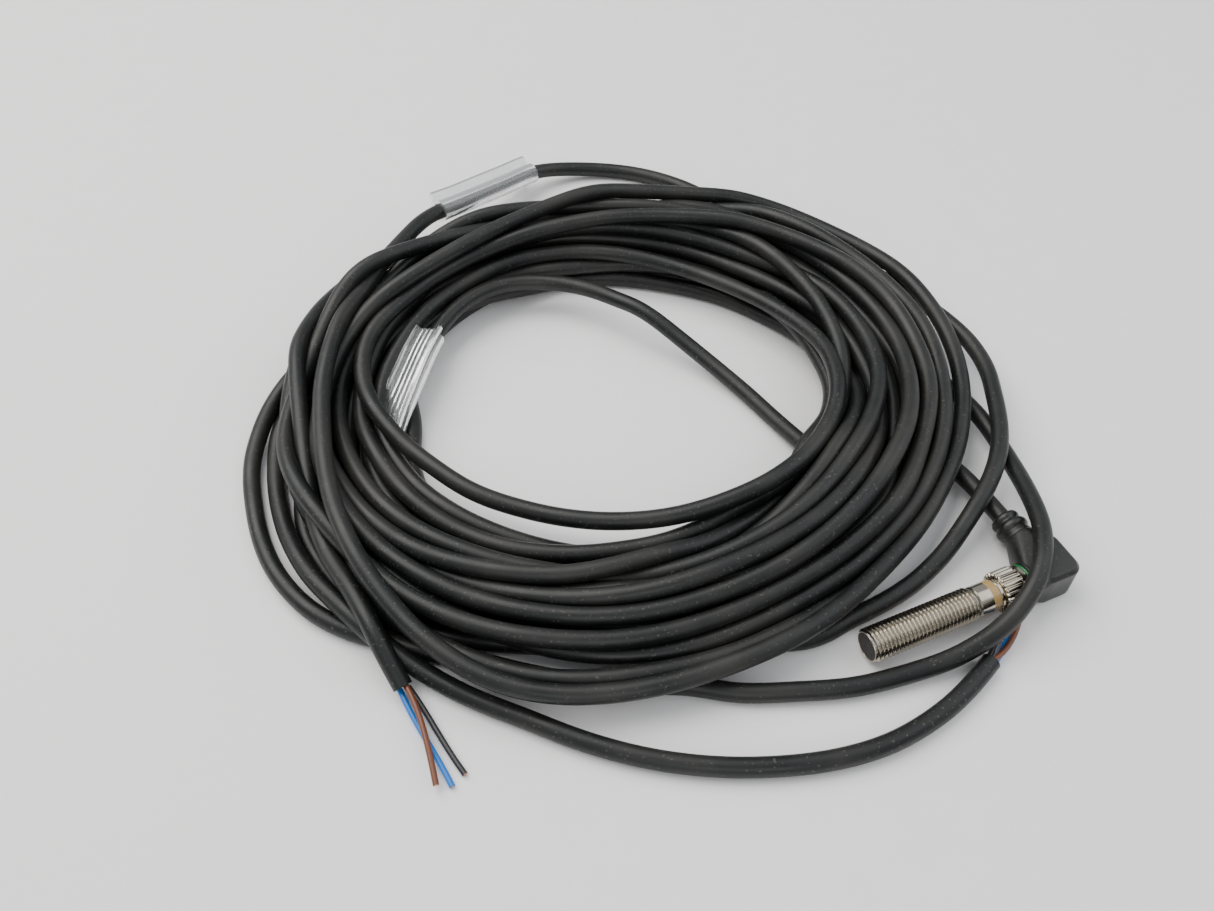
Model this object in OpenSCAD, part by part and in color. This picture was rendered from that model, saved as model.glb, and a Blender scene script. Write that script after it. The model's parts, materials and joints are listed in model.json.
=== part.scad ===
// Inductive proximity sensor, M8 x 1 threaded barrel, plugged into a right-angle M8 lead.
// A second lead of the same kind is wound together with the first.
// The sensor lies along X with its sensing face towards -X; the arm of the plug points to +Y.
// Z = 0 is the surface that everything lies on.

/* [Sensor] */
// Diameter of the threaded barrel
barrel_d = 8; // [7.9:0.05:8.1]
// Length of the threaded stretch
thread_len = 27.3; // [24:0.1:30]
// Diameter of the plain neck behind the thread
neck_d = 7.3; // [7.2:0.05:7.5]
// Width of the translucent light ring
light_ring_w = 1.8; // [1.2:0.1:2.2]
// Height of the sensor's axis above the surface
axis_z = 4.8; // [4.8:0.1:6]

/* [Plug] */
// Outer diameter of the coupling nut
nut_d = 9.6; // [9.4:0.1:9.6]
// Number of grip flutes round the nut
nut_flutes = 24; // [16:1:28]
// Thickness and width of the moulded right-angle body
body_w = 9.6; // [9:0.1:9.6]
// Outer diameter of the bulged ring on the strain relief
relief_d = 8; // [7:0.1:8.4]

/* [Leads] */
// Outer diameter of the cable sheath
cable_d = 4.4; // [4:0.1:4.4]
// Outer diameter of each insulated core
core_d = 1.3; // [1:0.05:1.3]
// Inner radius of the wound cable
coil_r_in = 53; // [50:1:56]
// Outer radius of the wound cable
coil_r_out = 84; // [78:1:84]
// Height of the wound cable
coil_h = 21; // [18:0.5:24]
// Length of each marker sleeve
sleeve_len = 40; // [30:1:44]

/* [Hidden] */
$fn = 48;

// Where the sensing face and the sensor's axis are
face_x = -27;
axis_y = -6;

// Stations along the sensor, from its face
thread_end = 0.3 + thread_len;
neck_start = thread_end + 0.35;
ring_start = neck_start + 3.45;
ring_end = ring_start + light_ring_w;
shell_seat = ring_end + 1.7;
shell_thread = ring_end + 1.4;
shell_end = ring_end + 6;

// The same stations on the plug, fixed because both plugs are alike
nut_front = 34.2;
nut_rear = 41;
nut_shoulder = 40.2;
nut_bore_r = 4;
neck_bore_r = 3.5;
seal_start = 41.1;
seal_end = 41.8;
body_front = 42.4;
body_end = 54;
mould_start = 44;
mould_end = 51;

// Radii inside the sensor
bore_r = 3.4;
cap_skirt_r = 2.9;
carrier_r = 2.9;
socket_r = 3.25;
male_thread_r = nut_bore_r - 0.05;
pin_r = 0.5;
contact_r = 0.85;
contact_spots = [[1.5, 0], [-1.5, 0], [0, -1.9]];

// The board and what sits on it: [start, length, width, height]
board = [3.8, 25.4, 5.4, 0.8];
chip = [8, 5, 4, 1.1];
transistor = [17, 3, 2.8, 1.2];
led = [26.4, 1.6, 1.6, 0.8];

// The plug's arm, and where the two plugs lie
arm_x = 22;
relief_start = 4.6;
relief_end = 10.8;
mould_y = [-9.4, -1];
here = [0, 0, 0];
second_shift = [-30, 33.2, 0];

// The wound cable's centre
coil_x = -44;
coil_y = 83;
cable_r = cable_d / 2;

// Routes of the loose stretches, in millimetres
lead_one_start_route = [
    [22, -1, 4.8], [22, 11, 4.8], [22, 20, 4.6], [22, 27, 3.6], [21, 35, 3]
];
lead_one_loop_route = [
    [21.5, 132, 4], [20.5, 145, 2.3], [17, 157, 2.3], [10, 169, 2.3], [0, 179, 2.3],
    [-13, 185.5, 3], [-28, 187, 5.6], [-67, 168, 14], [-78, 159, 14], [-83, 151, 12]
];
lead_one_tail_route = [
    [-125, 76, 12], [-127.5, 62, 9], [-126, 51, 7.2], [-124.5, 41, 5], [-123, 33, 3],
    [-122, 26, 2.3]
];
lead_two_start_route = [
    [-8, 32.2, 4.8], [-8, 44, 4.8], [-8.5, 51, 3.6], [-10, 61, 2.3], [-13, 75, 2.3],
    [-18, 89, 2.3], [-24, 102, 3], [-31, 114, 5], [-39, 125, 7], [-48, 132.5, 9], [-57, 137, 11]
];
lead_two_arc_route = [
    [34, 108, 10], [45, 87, 8], [50, 68, 7], [48, 54, 7.5], [42, 42, 9], [36.5, 33, 10],
    [30, 25, 10], [21.5, 18, 9.4], [12, 12, 6], [3, 7.5, 3.2], [-8, 4, 2.3], [-20, 4.5, 2.3]
];
lead_two_over_route = [
    [36, 58, 6], [38, 44, 5], [36.5, 33, 4.5], [33, 21, 6], [28.5, 10, 10], [23, 0, 12.2],
    [16, -8, 12.2], [9, -12.5, 9.4], [1, -15, 5], [-10, -15.6, 2.3], [-22, -14.3, 2.3],
    [-34, -12.2, 2.3], [-46, -8, 2.3], [-57, -3.5, 2.3], [-67, 3, 2.3]
];
lead_two_tail_route = [
    [-3, -19, 2.3], [-10, -22, 2.3], [-20, -25, 2.3], [-33, -26.5, 2.3], [-46, -25, 2.3],
    [-59, -21, 2.3], [-71, -15.5, 2.3], [-82, -8.5, 2.3], [-92, 0, 2.3], [-101, 9.5, 2.3],
    [-108.5, 20, 2.3], [-115, 31, 2.3], [-120, 43, 2.3], [-124, 55, 2.3], [-125, 68, 2.3]
];

// The stripped cores: where each starts in the sheath's end, and where it ends
lead_one_cores = [
    [[-122.8, 26, 1.7], [-119.6, 2, 0.7]],
    [[-121.4, 26, 3.2], [-122.6, 3, 2]],
    [[-120.9, 26, 1.6], [-116.4, 3.5, 0.7]]
];
lead_two_cores = [
    [[-3, -19.8, 1.6], [9.5, -13.2, 0.7]],
    [[-3, -19.2, 2.9], [10.5, -11.2, 1.4]],
    [[-3, -18.2, 1.7], [8, -10.4, 0.7]]
];

// The marker sleeves: the end nearer the plug, and the other end's direction
sleeve_one_at = [-30, 186, 6];
sleeve_one_to = [-67, 168, 14];
sleeve_two_at = [-84, 122, 15];
sleeve_two_to = [-106, 92, 12];

// ---- helpers ----

function unit(v) = v / norm(v);

// Lays a shape that is drawn along Z on the sensor's axis, with Z as the distance from the face
module on_axis(shift = [0, 0, 0]) {
    translate(shift + [face_x, axis_y, axis_z]) rotate([0, 90, 0]) children();
}

// A ring or tube between two stations
module tube(r_out, r_in, from, to) {
    translate([0, 0, from]) rotate_extrude() translate([r_in, 0]) square([r_out - r_in, to - from]);
}

// A straight round bar between two points
module bar(a, b, r) {
    d = b - a;
    translate(a)
        rotate([0, acos(d[2] / norm(d)), atan2(d[1], d[0])])
            cylinder(r = r, h = norm(d), $fn = 24);
}

// A flexible cord swept along a route, with a ring at each of its points
module cord(route, r, sides = 10) {
    n = len(route);
    tangents = [for (i = [0:n - 1]) unit(route[min(i + 1, n - 1)] - route[max(i - 1, 0)])];
    side_axes = [for (t = tangents) unit(cross(t, [0, 0, 1]))];
    up_axes = [for (i = [0:n - 1]) cross(side_axes[i], tangents[i])];
    points = [
        for (i = [0:n - 1]) for (j = [0:sides - 1])
            let (a = 360 * j / sides)
                route[i] + r * (cos(a) * side_axes[i] + sin(a) * up_axes[i])
    ];
    walls = [
        for (i = [0:n - 2]) for (j = [0:sides - 1])
            let (k = (j + 1) % sides)
                [i * sides + j, i * sides + k, (i + 1) * sides + k, (i + 1) * sides + j]
    ];
    first = [for (j = [0:sides - 1]) sides - 1 - j];
    last = [for (j = [0:sides - 1]) (n - 1) * sides + j];
    polyhedron(points, concat([first], walls, [last]), convexity = 6);
}

// A block on the circuit board: [start, length, width, height]
module on_board(part, base) {
    translate([part[0], -part[2] / 2, base]) cube([part[1], part[2], part[3]]);
}

// Everything on the board, grown by a gap, for the potting to leave room
module board_stack() {
    on_board(board, -board[3]);
    on_board(chip, 0);
    on_board(transistor, 0);
    on_board(led, 0);
}

// Puts the board's own frame, X along the sensor, at the sensing face
module board_frame() {
    translate([face_x, axis_y, axis_z]) children();
}

// ---- sensor ----

module barrel() {
    r = barrel_d / 2;
    neck_r = neck_d / 2;
    color("silver") on_axis() rotate_extrude($fn = 96) polygon([
        [bore_r, 0], [r - 0.3, 0], [r, 0.3], [r, thread_end], [neck_r, neck_start],
        [neck_r, ring_start], [bore_r, ring_start]
    ]);
}

module sensing_cap() {
    color("dimgray") on_axis() {
        cylinder(r = bore_r, h = 0.8);
        tube(bore_r, cap_skirt_r, 0.8, 3.8);
    }
}

module ferrite_core() {
    color("darkslategray") on_axis() rotate_extrude() polygon([
        [0.45, 0.9], [1.1, 0.9], [1.1, 2.7], [2.25, 2.7], [2.25, 0.9], [2.85, 0.9],
        [2.85, 3.5], [0.45, 3.5]
    ]);
}

module coil_bobbin() {
    color("ivory") on_axis() rotate_extrude() polygon([
        [1.12, 0.95], [2.2, 0.95], [2.2, 1.1], [1.35, 1.1], [1.35, 2.45], [2.2, 2.45],
        [2.2, 2.65], [1.12, 2.65]
    ]);
}

module sensing_coil() {
    color("chocolate") on_axis() tube(2.1, 1.36, 1.15, 2.4);
}

module circuit_board() {
    color("seagreen") board_frame() on_board(board, -board[3]);
}

module sensing_chip() {
    color("black") board_frame() on_board(chip, 0);
}

module output_transistor() {
    color("black") board_frame() on_board(transistor, 0);
}

module indicator_led() {
    color("gold") board_frame() on_board(led, 0);
}

module potting() {
    color("darkolivegreen") difference() {
        on_axis() {
            translate([0, 0, 3.8]) cylinder(r = bore_r, h = ring_start - 1.8 - 3.8);
            translate([0, 0, ring_start - 1.8]) cylinder(r = carrier_r, h = 1);
        }
        board_frame() board_stack();
        contact_pin_bars();
    }
}

module light_ring() {
    color("goldenrod", 0.8) on_axis() rotate_extrude() polygon([
        [carrier_r, ring_start - 1.8], [bore_r, ring_start - 1.8], [bore_r, ring_start],
        [neck_d / 2, ring_start], [neck_d / 2, ring_end], [bore_r, ring_end],
        [bore_r, shell_seat], [carrier_r, shell_seat]
    ]);
}

module connector_shell() {
    color("silver") on_axis() rotate_extrude($fn = 96) polygon([
        [bore_r, ring_end], [neck_d / 2 + 0.2, ring_end], [neck_d / 2 + 0.2, ring_end + 0.7],
        [neck_d / 2 - 0.05, ring_end + 0.8], [neck_d / 2 - 0.05, shell_thread],
        [male_thread_r, shell_thread], [male_thread_r, shell_end - 0.3],
        [male_thread_r - 0.3, shell_end], [socket_r, shell_end], [socket_r, shell_seat],
        [bore_r, shell_seat]
    ]);
}

module contact_carrier() {
    color("black") difference() {
        on_axis() translate([0, 0, ring_start - 0.8])
            cylinder(r = carrier_r, h = shell_seat - ring_start + 0.8);
        contact_pin_bars();
    }
}

module contact_pin_bar(k) {
    on_axis() translate([contact_spots[k][0], contact_spots[k][1], board[0] + board[1] + 0.1])
        cylinder(r = pin_r, h = shell_end - 1 - board[0] - board[1] - 0.1, $fn = 24);
}

module contact_pin_bars() {
    for (k = [0:2]) contact_pin_bar(k);
}

module contact_pin(k) {
    color("gold") contact_pin_bar(k);
}

// ---- plug, drawn once and used for both leads ----

module coupling_nut(shift) {
    r = nut_d / 2;
    color("silver") on_axis(shift) difference() {
        rotate_extrude($fn = 96) polygon([
            [nut_bore_r, nut_front], [r - 0.45, nut_front], [r, nut_front + 0.45],
            [r, nut_rear - 1.9], [r - 0.45, nut_rear - 1.5], [r - 0.45, nut_rear],
            [neck_bore_r, nut_rear], [neck_bore_r, nut_shoulder], [nut_bore_r, nut_shoulder]
        ]);
        for (k = [0:nut_flutes - 1])
            rotate(360 * k / nut_flutes)
                translate([r + 0.25, 0, nut_front - 1])
                    cylinder(r = 0.45, h = nut_rear - nut_front - 0.7, $fn = 16);
    }
}

module seal_ring(shift) {
    color("green") on_axis(shift) rotate_extrude() polygon([
        [3.45, seal_start], [4.25, seal_start], [4.35, seal_start + 0.15],
        [4.35, seal_end], [3.45, seal_end]
    ]);
}

module socket_carrier(shift) {
    color("black") on_axis(shift) difference() {
        rotate_extrude() polygon([
            [0, 35.6], [2.7, 35.6], [2.95, 35.85], [2.95, 39.6], [3.85, 39.6], [3.85, 40.1],
            [3.45, 40.1], [3.45, mould_start], [0, mould_start]
        ]);
        for (spot = contact_spots)
            translate([spot[0], spot[1], 35]) cylinder(r = contact_r, h = 10, $fn = 24);
    }
}

module socket_contact(k, shift) {
    spot = contact_spots[k];
    color("gold") on_axis(shift) translate([spot[0], spot[1], 0]) difference() {
        translate([0, 0, 35.8]) cylinder(r = contact_r, h = mould_start - 35.8, $fn = 24);
        translate([0, 0, 35.7]) cylinder(r = pin_r + 0.05, h = 5.3, $fn = 24);
    }
}

module mould_block(grow) {
    x = face_x + mould_start;
    translate([x - grow, mould_y[0] - grow, 1.8 - grow])
        cube([mould_end - mould_start + 2 * grow, mould_y[1] - mould_y[0] + 2 * grow,
              body_w - 3.6 + 2 * grow]);
}

module inner_mould(shift) {
    color("gray") translate(shift) mould_block(0);
}

// One rounded corner post of the moulded body
module post(x, y, r) {
    edge = 0.9;
    translate([x, y, 0]) rotate_extrude($fn = 28) polygon([
        [0, 0], [r - edge, 0], [r, edge], [r, body_w - edge], [r - edge, body_w], [0, body_w]
    ]);
}

module plug_body(shift) {
    corner_r = 3;
    low_y = axis_y - body_w / 2 + corner_r;
    back_x = face_x + body_end - corner_r;
    front_x = face_x + body_front;
    color([0.1, 0.1, 0.1]) translate(shift) difference() {
        union() {
            translate([face_x + seal_end, axis_y, axis_z]) rotate([0, 90, 0])
                cylinder(r = 4.5, h = body_front - seal_end + 0.1);
            hull() {
                translate([front_x, axis_y, axis_z]) rotate([0, 90, 0])
                    cylinder(r = 4.4, h = 0.6, $fn = 32);
                post(front_x + corner_r + 0.4, low_y, corner_r);
                post(back_x, low_y, corner_r);
                post(back_x, -1.5, corner_r);
                translate([arm_x, relief_start - 0.6, axis_z]) rotate([-90, 0, 0])
                    cylinder(r = 3.7, h = 0.6, $fn = 32);
            }
        }
        translate([face_x + seal_end - 1, axis_y, axis_z]) rotate([0, 90, 0])
            cylinder(r = 3.45, h = mould_start - seal_end + 1);
        mould_block(0);
        translate([arm_x, mould_y[1] - 0.5, axis_z]) rotate([-90, 0, 0])
            cylinder(r = cable_r, h = 20);
    }
}

module strain_relief(shift) {
    big = relief_d / 2;
    color([0.12, 0.12, 0.12]) translate(shift + [arm_x, 0, axis_z])
        rotate([-90, 0, 0]) rotate_extrude() polygon([
            [cable_r, relief_start], [3.6, relief_start], [3.5, 5.6], [big, 6.4], [big, 8],
            [3.3, 8.6], [3.2, 9.1], [3.5, 9.5], [3.4, 10.3], [3, relief_end],
            [cable_r, relief_end]
        ]);
}

// ---- leads ----

module cable_coil() {
    span = coil_r_out - coil_r_in;
    color([0.14, 0.15, 0.15]) difference() {
        translate([coil_x, coil_y, 0]) rotate_extrude($fn = 96) translate([coil_r_in, 0]) polygon([
            [0, 0], [span, 0], [span, coil_h * 0.45], [span * 0.8, coil_h * 0.85],
            [span * 0.58, coil_h], [span * 0.3, coil_h], [span * 0.08, coil_h * 0.8],
            [0, coil_h * 0.45]
        ]);
        // Room for the second lead's plug, which lies under the turns
        translate([second_shift[0] + face_x + nut_front - 1.2, axis_y + second_shift[1] - 6, -1])
            cube([body_end - nut_front + 2.4, 34, body_w + 2]);
    }
}

module sheath(route) {
    color([0.14, 0.15, 0.15]) cord(route, cable_r);
}

module core(ends, paint) {
    color(paint) bar(ends[0], ends[1], core_d / 2);
}

module marker_sleeve(from, to) {
    d = to - from;
    color("gainsboro", 0.6) translate(from)
        rotate([0, acos(d[2] / norm(d)), atan2(d[1], d[0])])
            linear_extrude(sleeve_len) difference() {
                union() {
                    circle(r = 3.2);
                    translate([-4.6, -4]) square([3.4, 8]);
                    translate([-2, -3.2]) square([2, 6.4]);
                }
                circle(r = cable_r + 0.1);
                translate([-4, -3.3]) square([1, 6.6]);
            }
}

// ---- what is drawn ----

barrel();
sensing_cap();
ferrite_core();
coil_bobbin();
sensing_coil();
circuit_board();
sensing_chip();
output_transistor();
indicator_led();
potting();
light_ring();
connector_shell();
contact_carrier();
contact_pin(0);  // contact_pin_1
contact_pin(1);  // contact_pin_2
contact_pin(2);  // contact_pin_3

coupling_nut(here);
seal_ring(here);
socket_carrier(here);
socket_contact(0, here);  // socket_contact_1
socket_contact(1, here);  // socket_contact_2
socket_contact(2, here);  // socket_contact_3
inner_mould(here);
plug_body(here);
strain_relief(here);

coupling_nut(second_shift);  // second_coupling_nut
seal_ring(second_shift);  // second_seal_ring
socket_carrier(second_shift);  // second_socket_carrier
socket_contact(0, second_shift);  // second_socket_contact_1
socket_contact(1, second_shift);  // second_socket_contact_2
socket_contact(2, second_shift);  // second_socket_contact_3
inner_mould(second_shift);  // second_inner_mould
plug_body(second_shift);  // second_plug_body
strain_relief(second_shift);  // second_strain_relief

cable_coil();
sheath(lead_one_start_route);  // lead_one_start
sheath(lead_one_loop_route);  // lead_one_loop
sheath(lead_one_tail_route);  // lead_one_tail
sheath(lead_two_start_route);  // lead_two_start
sheath(lead_two_arc_route);  // lead_two_arc
sheath(lead_two_over_route);  // lead_two_over
sheath(lead_two_tail_route);  // lead_two_tail
core(lead_one_cores[0], "dodgerblue");  // lead_one_core_blue
core(lead_one_cores[1], "saddlebrown");  // lead_one_core_brown
core(lead_one_cores[2], "black");  // lead_one_core_black
core(lead_two_cores[0], "dodgerblue");  // lead_two_core_blue
core(lead_two_cores[1], "saddlebrown");  // lead_two_core_brown
core(lead_two_cores[2], "black");  // lead_two_core_black
marker_sleeve(sleeve_one_at, sleeve_one_to);  // marker_sleeve_one
marker_sleeve(sleeve_two_at, sleeve_two_to);  // marker_sleeve_two
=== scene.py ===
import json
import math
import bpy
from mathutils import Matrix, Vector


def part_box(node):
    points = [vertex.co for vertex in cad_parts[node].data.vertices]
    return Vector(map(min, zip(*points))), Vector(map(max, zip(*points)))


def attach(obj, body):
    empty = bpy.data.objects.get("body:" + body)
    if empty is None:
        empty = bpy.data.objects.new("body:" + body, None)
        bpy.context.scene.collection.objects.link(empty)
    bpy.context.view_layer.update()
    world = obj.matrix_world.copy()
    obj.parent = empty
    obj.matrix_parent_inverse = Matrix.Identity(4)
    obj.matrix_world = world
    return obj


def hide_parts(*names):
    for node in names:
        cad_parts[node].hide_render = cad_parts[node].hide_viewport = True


bl_info = {
    "name": "Proximity sensor with wound leads",
    "version": (1, 0, 0),
    "blender": (4, 5, 0),
    "location": "3D View > Sidebar > Sensor",
    "description": "Builds a threaded proximity sensor, its right-angle plug and two wound leads",
    "category": "Add Mesh",
}

import bpy
import numpy as np
from bpy.props import FloatProperty, IntProperty, PointerProperty
from mathutils import Vector

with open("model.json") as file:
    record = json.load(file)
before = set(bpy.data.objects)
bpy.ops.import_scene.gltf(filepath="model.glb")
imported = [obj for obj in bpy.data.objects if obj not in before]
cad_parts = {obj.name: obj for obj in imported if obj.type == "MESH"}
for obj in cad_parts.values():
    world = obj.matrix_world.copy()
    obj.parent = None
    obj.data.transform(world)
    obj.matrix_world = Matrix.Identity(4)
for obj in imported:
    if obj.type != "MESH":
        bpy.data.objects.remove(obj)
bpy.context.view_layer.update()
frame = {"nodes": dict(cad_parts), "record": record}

MM = 0.001
COIL_CENTRE = (-44.0, 83.0)
PLUG_TWO_SHIFT = (-30.0, 33.2)
STEP = 4.0  # mm between the solver's points
LIE_HEIGHT = 2.25  # mm from a lead's middle to what it lies on

# --- Routes of the two leads, in mm. Each stretch is (points, hold across, hold in height). ---

PLUG_LEAD = [(22, 6, 4.8), (22, 11, 4.8), (22, 20, 4.6), (22, 27, 3.6), (21, 35, 3), (20.5, 50, 2.4),
             (20.5, 75, 2.3), (21, 100, 2.3), (21.5, 120, 2.3), (21.5, 132, 2.4), (20.5, 145, 2.3),
             (17, 157, 2.3), (10, 169, 2.3), (0, 179, 2.3), (-13, 185.5, 3), (-28, 187, 5.6)]
SLEEVE_ONE = [(-38, 182.3, 7.5), (-48.5, 177, 10), (-58, 172.2, 12), (-67, 168, 14)]
CLIMB_ONE = [(-78, 159, 24), (-85, 152.5, 50)]
TOP_TURN = [(-91, 146, 75), (-104, 130, 92), (-115, 110, 95), (-121, 89, 95), (-123.5, 72, 95),
            (-123, 58, 95), (-120, 44, 95), (-115, 31, 95), (-107, 19, 95), (-96, 10, 95), (-81, 4, 95),
            (-63, 1, 95), (-45, 1, 95), (-29, 3.5, 95), (-14, 9, 95), (1, 16.5, 95), (14, 25, 95),
            (26, 35, 95), (37, 49, 95), (44, 65, 95), (46, 82, 95), (43.5, 100, 95), (36, 117, 95),
            (25, 131, 95), (11, 140, 95), (-6, 146.5, 95), (-24, 149.5, 94), (-45, 148, 92),
            (-65, 143, 90), (-85, 136, 88)]
LAST_TURN = [(-2, 139, 16), (-22, 154, 14), (-42, 164, 8), (-60, 168, 4), (-75, 166.5, 6),
             (-90, 159, 30), (-102, 149, 78), (-113, 134, 90), (-121, 115, 90), (-126, 95, 90),
             (-128, 78, 80)]
FREE_END_ONE = [(-128, 62, 50), (-126, 51, 30), (-124.5, 41, 16), (-123, 33, 5.5), (-122, 26, 2.4)]
SECOND_START = [(-8, 39, 4.8), (-8, 44, 4.8), (-8.5, 51, 3.6), (-10, 61, 2.3), (-13, 75, 2.6),
                (-18, 89, 4.6), (-24, 102, 8)]
SECOND_CLIMB = [(-31, 114, 14), (-38, 124, 32), (-48, 131.5, 44), (-60, 134.5, 48), (-73, 131, 48),
                (-84, 122, 46), (-95, 107, 46), (-106, 92, 46)]
FLOOR_TURN_TWO = [(-42, 3.5, 2.4), (-30, 3, 2.3), (-20, 3, 2.3), (-8, 4.5, 2.3), (3, 8, 3.2), (12, 12.5, 6),
                  (21.5, 18, 9.4), (30, 25, 10), (36.5, 33, 10), (42, 42, 9), (48, 54, 7.5), (50, 68, 7),
                  (46, 86, 10), (36, 106, 14), (22, 124, 18), (4, 138, 18), (-16, 147, 16),
                  (-38, 152.5, 14), (-60, 154, 13), (-82, 150, 12), (-102, 139, 10), (-124, 124, 6),
                  (-137, 106, 2.6), (-141, 88, 2.3), (-141, 71, 2.3), (-137, 57, 2.3), (-130.5, 47, 2.3),
                  (-120.5, 37, 2.3), (-107, 27.5, 2.3), (-93, 16.5, 2.3), (-80, 9, 2.3), (-67, 3, 2.3)]
FLOOR_TURN_ONE = [(-57, -3.5, 2.3), (-46, -8, 2.3), (-34, -12.2, 2.3), (-22, -14.3, 2.3),
                  (-10, -15.6, 2.3), (1, -15, 5), (9, -12.5, 9.4), (16, -8, 12.2), (23, 0, 12.2),
                  (28.5, 10, 10), (33, 21, 6), (36.5, 33, 4.5), (38, 44, 4.5), (37, 58, 2.6),
                  (33.5, 75, 2.3), (29, 92, 3.5), (20, 110, 6.8), (6, 126, 5), (-12, 140, 2.6),
                  (-34, 150.5, 2.3), (-60, 154, 2.3), (-86, 149, 2.3), (-108, 135, 2.3),
                  (-127, 116, 2.3), (-133.5, 98, 2.6), (-135.5, 80, 3.5), (-134, 64, 6.7), (-130, 52, 6),
                  (-125, 41, 4), (-118, 29.5, 2.3), (-110, 19, 2.3), (-101, 9.5, 2.3)]
FREE_END_TWO = [(-92, 0, 2.3), (-82, -8.5, 2.3), (-71, -15.5, 2.3), (-59, -21, 2.3), (-46, -25, 2.3),
                (-33, -26.5, 2.3), (-20, -25, 2.3), (-10, -22, 2.3), (-3, -19, 2.3)]

# The inner loop that lies on top: (angle in degrees, radius, drop height) round the coil's centre.
INNER_LOOP = [(335, 77, 92), (350, 76, 94), (365, 73.5, 96), (380, 69.5, 98), (395, 65.5, 100),
              (410, 62, 100), (425, 60, 100), (440, 59.5, 100), (455, 61, 100), (470, 63.5, 100),
              (485, 66.5, 100), (500, 69, 100), (512, 68.5, 100), (523, 65.5, 100), (535, 60, 100),
              (547, 54.5, 100), (560, 50.5, 100), (575, 46.5, 100), (590, 44.5, 100), (605, 44, 100),
              (620, 44.8, 100), (635, 46.5, 100), (650, 49, 100), (665, 51.5, 100), (680, 53.5, 100),
              (695, 54.5, 100), (710, 53.5, 100), (725, 51.5, 100), (740, 50, 100), (755, 49.5, 100),
              (770, 50.5, 100), (785, 52.5, 100), (800, 55, 98), (815, 57.5, 96), (830, 59.5, 92),
              (845, 61, 86), (860, 62, 80), (875, 63, 74), (890, 62.5, 68), (905, 60.5, 62),
              (920, 57, 56), (935, 53.5, 50), (950, 51.5, 46), (965, 50.5, 42), (980, 51, 38),
              (995, 53, 34), (1010, 56, 30), (1030, 60, 26), (1060, 65, 22), (1090, 66, 19),
              (1120, 66, 16), (1150, 68, 13), (1180, 72, 11), (1210, 77, 9), (1240, 82, 7),
              (1265, 84, 5), (1290, 84, 3.5)]

# Inner and outer radius of the bundle every 30 degrees round the coil's centre.
BUNDLE_INSIDE = [54, 53, 54, 56, 60, 62, 61, 56, 50, 49, 52, 55]
BUNDLE_OUTSIDE = [82, 77, 72, 74, 80, 87, 89, 88, 84, 79, 78, 81]

CORES_ONE = {
    "blue": [(-122.8, 26, 1.7), (-122.6, 19, 1.2), (-120.6, 11, 1.5), (-119.6, 2, 0.7)],
    "brown": [(-121.4, 26, 3.2), (-120.4, 19, 4.2), (-121.6, 10, 3.2), (-122.6, 3, 2)],
    "black": [(-120.9, 26, 1.6), (-119, 19, 1.2), (-118.4, 11, 1), (-116.4, 3.5, 0.7)],
}
CORES_TWO = {
    "blue": [(-3, -19.8, 1.6), (1.5, -18, 1), (6, -14.5, 0.8), (9, -12, 0.7)],
    "brown": [(-3, -19.2, 2.9), (2, -18.6, 2.6), (6.8, -15.4, 1.9), (10.5, -12, 1.4)],
    "black": [(-3, -18.2, 1.7), (1, -15.6, 1.4), (4.5, -12.6, 0.9), (8, -10.4, 0.7)],
}


# --- Settings ---


class LeadSettings(bpy.types.PropertyGroup):
    diameter: FloatProperty(name="Diameter", description="Outside diameter of the lead's sheath",
                            default=0.0044, unit="LENGTH")
    length: FloatProperty(name="Length", description="Length of each lead", default=5.0, unit="LENGTH")
    turns_one: IntProperty(name="Turns, first lead", description="Whole turns of the first lead",
                           default=8)
    turns_two: IntProperty(name="Turns, second lead", description="Whole turns of the second lead",
                           default=5)
    passes: IntProperty(name="Settling passes", description="How long the leads settle", default=1100)


class SensorSettings(bpy.types.PropertyGroup):
    pitch: FloatProperty(name="Pitch", description="Thread pitch of the barrel", default=0.001,
                         unit="LENGTH")
    thread_depth: FloatProperty(name="Thread depth", description="Crest to root of the thread",
                                default=0.00055, unit="LENGTH")
    flutes: IntProperty(name="Flutes", description="Grip flutes round the coupling nut", default=24)
    flute_depth: FloatProperty(name="Flute depth", description="Depth of a grip flute",
                               default=0.00042, unit="LENGTH")


class StageSettings(bpy.types.PropertyGroup):
    lens: FloatProperty(name="Lens", description="Focal length of the camera in mm", default=32.62)
    key_power: FloatProperty(name="Main light", description="Power of the large soft light",
                             default=11.5, unit="POWER")
    fill_power: FloatProperty(name="Fill light", description="Power of the wide fill light",
                              default=3.6, unit="POWER")


class MaterialSettings(bpy.types.PropertyGroup):
    dust: FloatProperty(name="Dust", description="Amount of dust on dark surfaces", default=0.3,
                        subtype="FACTOR")


# --- Materials ---


def new_group(name, inputs, outputs):
    """An empty node group with named sockets; each input is (name, kind, default)."""
    group = bpy.data.node_groups.new(name, "ShaderNodeTree")
    for label, kind, value in inputs:
        socket = group.interface.new_socket(label, in_out="INPUT", socket_type=kind)
        socket.default_value = value
    for label, kind in outputs:
        group.interface.new_socket(label, in_out="OUTPUT", socket_type=kind)
    start = group.nodes.new("NodeGroupInput")
    end = group.nodes.new("NodeGroupOutput")
    return group, start, end


def add(tree, kind, inputs=None, **settings):
    """A node with its settings and its plain or linked inputs."""
    node = tree.nodes.new(kind)
    for key, value in settings.items():
        setattr(node, key, value)
    for key, value in (inputs or {}).items():
        if isinstance(value, bpy.types.NodeSocket):
            tree.links.new(value, node.inputs[key])
        else:
            node.inputs[key].default_value = value
    return node


def math_node(tree, operation, first, second=0.0):
    return add(tree, "ShaderNodeMath", {0: first, 1: second}, operation=operation).outputs[0]


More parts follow.
